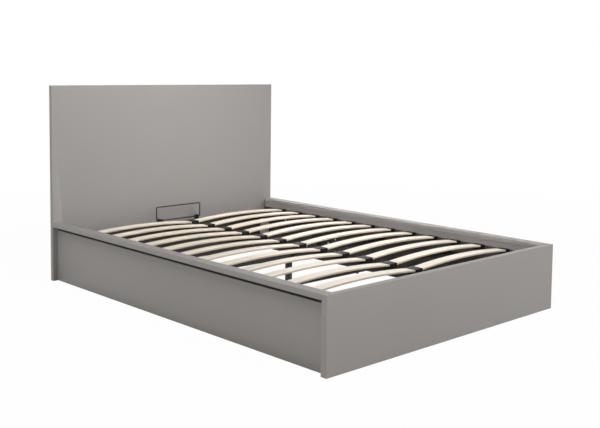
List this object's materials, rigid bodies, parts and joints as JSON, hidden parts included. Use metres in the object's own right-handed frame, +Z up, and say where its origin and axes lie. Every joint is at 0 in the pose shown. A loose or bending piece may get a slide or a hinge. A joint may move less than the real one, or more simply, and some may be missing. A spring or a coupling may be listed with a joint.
{
  "type": "ottoman bed",
  "caption": "Low double bed in painted board with a sprung slat frame that lifts at the foot on gas-strut linkages for storage below.",
  "frame": {"origin": "on the floor, in the middle of the bed's outline", "axes": "+Z up, +X across the bed to the right of someone lying on their back, +Y towards the headboard"},
  "size_m": [1.45, 1.965, 0.98],
  "materials": {
    "painted_board": "satin grey paint on board",
    "shadow_strip": "matt dark board",
    "slat_wood": "clear lacquered birch plywood",
    "frame_steel": "black powder coat",
    "black_plastic": "matt moulded plastic",
    "black_rubber": "soft rubber",
    "fastener_steel": "zinc plated",
    "bright_steel": "ground and polished rod",
    "black_webbing": "woven nylon webbing"
  },
  "bodies": {
    "surround": {"headboard_panel": "painted_board", "foot_panel": "painted_board", "side_panel_left": "painted_board", "side_panel_right": "painted_board", "shadow_strip_left": "shadow_strip", "shadow_strip_right": "shadow_strip", "cap_rail_left": "painted_board", "cap_rail_right": "painted_board", "corner_brackets": "frame_steel", "panel_bolts": "fastener_steel", "rest_bracket_left": "frame_steel", "rest_bracket_right": "frame_steel", "rest_buffers": "black_rubber", "base_plate_left": "frame_steel", "base_plate_right": "frame_steel", "base_pivot_pins": "fastener_steel"},
    "lift_frame": {"side_tube_left": "frame_steel", "side_tube_right": "frame_steel", "head_tube": "frame_steel", "foot_tube": "frame_steel", "centre_beam": "frame_steel", "cross_bar_foot": "frame_steel", "cross_bar_middle": "frame_steel", "cross_bar_head": "frame_steel", "tube_end_plugs": "black_plastic", "centre_leg": "frame_steel", "leg_glide": "black_plastic", "slat_row_01": "slat_wood", "slat_row_02": "slat_wood", "slat_row_03": "slat_wood", "slat_row_04": "slat_wood", "slat_row_05": "slat_wood", "slat_row_06": "slat_wood", "slat_row_07": "slat_wood", "slat_row_08": "slat_wood", "slat_row_09": "slat_wood", "slat_row_10": "slat_wood", "slat_row_11": "slat_wood", "slat_row_12": "slat_wood", "side_caps_left": "black_plastic", "side_caps_right": "black_plastic", "centre_caps": "black_plastic", "retaining_bar": "frame_steel", "bar_clamps": "black_plastic", "bar_sleeves": "black_rubber", "lift_strap": "black_webbing", "frame_bolts": "fastener_steel", "frame_nuts": "fastener_steel", "upper_bracket_left": "frame_steel", "upper_bracket_right": "frame_steel", "frame_pivot_pins": "fastener_steel"},
    "long_link_left": {"long_link_left": "frame_steel"},
    "short_link_left": {"short_link_left": "frame_steel"},
    "strut_cylinder_left": {"strut_cylinder_left": "frame_steel"},
    "strut_rod_left": {"strut_rod_left": "bright_steel"},
    "long_link_right": {"long_link_right": "frame_steel"},
    "short_link_right": {"short_link_right": "frame_steel"},
    "strut_cylinder_right": {"strut_cylinder_right": "frame_steel"},
    "strut_rod_right": {"strut_rod_right": "bright_steel"}
  },
  "joints": [
    {"name": "long_link_left_pivot", "type": "hinge", "parent": "surround", "child": "long_link_left", "pos_m": [-0.671, 0.4, 0.1], "axis": [1, 0, 0], "range_deg": [0, 47.28]},
    {"name": "long_link_right_pivot", "type": "hinge", "parent": "surround", "child": "long_link_right", "pos_m": [0.671, 0.4, 0.1], "axis": [1, 0, 0], "range_deg": [0, 47.28]},
    {"name": "frame_pivot", "type": "hinge", "parent": "long_link_left", "child": "lift_frame", "pos_m": [-0.671, 0.68, 0.19], "axis": [1, 0, 0], "range_deg": [-81.29, 0]},
    {"name": "short_link_left_pivot", "type": "hinge", "parent": "surround", "child": "short_link_left", "pos_m": [-0.671, 0.538, 0.097], "axis": [1, 0, 0], "range_deg": [0, 54.15]},
    {"name": "short_link_right_pivot", "type": "hinge", "parent": "surround", "child": "short_link_right", "pos_m": [0.671, 0.538, 0.097], "axis": [1, 0, 0], "range_deg": [0, 54.15]},
    {"name": "strut_left_pivot", "type": "hinge", "parent": "surround", "child": "strut_cylinder_left", "pos_m": [-0.65, 0.442, 0.04], "axis": [1, 0, 0], "range_deg": [0, 39.73]},
    {"name": "strut_left_slide", "type": "slide", "parent": "strut_cylinder_left", "child": "strut_rod_left", "axis": [0, 0.7305, 0.6829], "range_m": [0, 0.0539]},
    {"name": "strut_right_pivot", "type": "hinge", "parent": "surround", "child": "strut_cylinder_right", "pos_m": [0.65, 0.442, 0.04], "axis": [1, 0, 0], "range_deg": [0, 39.73]},
    {"name": "strut_right_slide", "type": "slide", "parent": "strut_cylinder_right", "child": "strut_rod_right", "axis": [0, 0.7305, 0.6829], "range_m": [0, 0.0539]}
  ],
  "couplings": [
    {"joint": "long_link_right_pivot", "follows": "long_link_left_pivot", "ratio": 1},
    {"joint": "frame_pivot", "follows": "long_link_left_pivot", "ratio": -1.7192},
    {"joint": "short_link_left_pivot", "follows": "long_link_left_pivot", "ratio": 1.1452},
    {"joint": "short_link_right_pivot", "follows": "long_link_left_pivot", "ratio": 1.1452},
    {"joint": "strut_left_pivot", "follows": "long_link_left_pivot", "ratio": 0.8403},
    {"joint": "strut_left_slide", "follows": "long_link_left_pivot", "m_per_rad": 0.0653},
    {"joint": "strut_right_pivot", "follows": "long_link_left_pivot", "ratio": 0.8403},
    {"joint": "strut_right_slide", "follows": "long_link_left_pivot", "m_per_rad": 0.0653}
  ]
}
